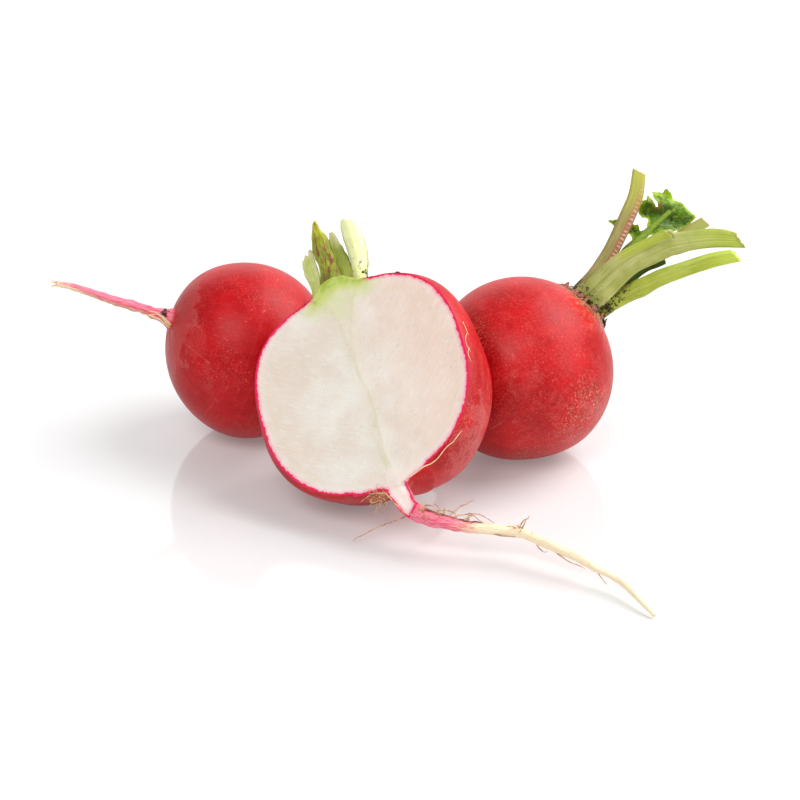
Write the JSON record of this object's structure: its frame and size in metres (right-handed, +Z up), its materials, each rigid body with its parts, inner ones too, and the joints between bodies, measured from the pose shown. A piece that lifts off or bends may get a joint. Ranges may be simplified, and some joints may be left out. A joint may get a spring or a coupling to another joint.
{
  "type": "bunch of radishes",
  "caption": "Fresh red radishes lying together as a loose bunch: whole round roots and a cut half, with taproots and cropped leaf stalks.",
  "frame": {"origin": "on the surface that the radishes lie on, under the middle of the whole bunch's box", "axes": "+X along the row of radishes, to the right as seen from the cut face; +Z up; the cut half's face looks towards -Y"},
  "size_m": [0.1178, 0.0857, 0.0454],
  "materials": {
    "skin": "moist red radish skin, smooth with a soft sheen",
    "flesh": "moist creamy white cut flesh inside red skin",
    "stalk": "fresh green leaf stalk, satin",
    "pale_stalk": "pale green cut stalk stub, satin",
    "leaf": "green leaf blade, satin"
  },
  "bodies": {
    "root": {"left_root": "skin", "left_stalk_1": "stalk", "left_stalk_2": "stalk", "left_stalk_3": "stalk", "half_root": "flesh", "half_stalk_a": "pale_stalk", "half_stalk_b": "pale_stalk", "half_stalk_c": "pale_stalk", "half_stalk_d": "pale_stalk", "right_root": "skin", "right_stalk_1": "stalk", "right_stalk_2": "stalk", "right_stalk_3": "stalk", "right_stalk_4": "stalk", "right_leaf": "leaf", "right_leaf_stub": "stalk"}
  },
  "joints": []
}
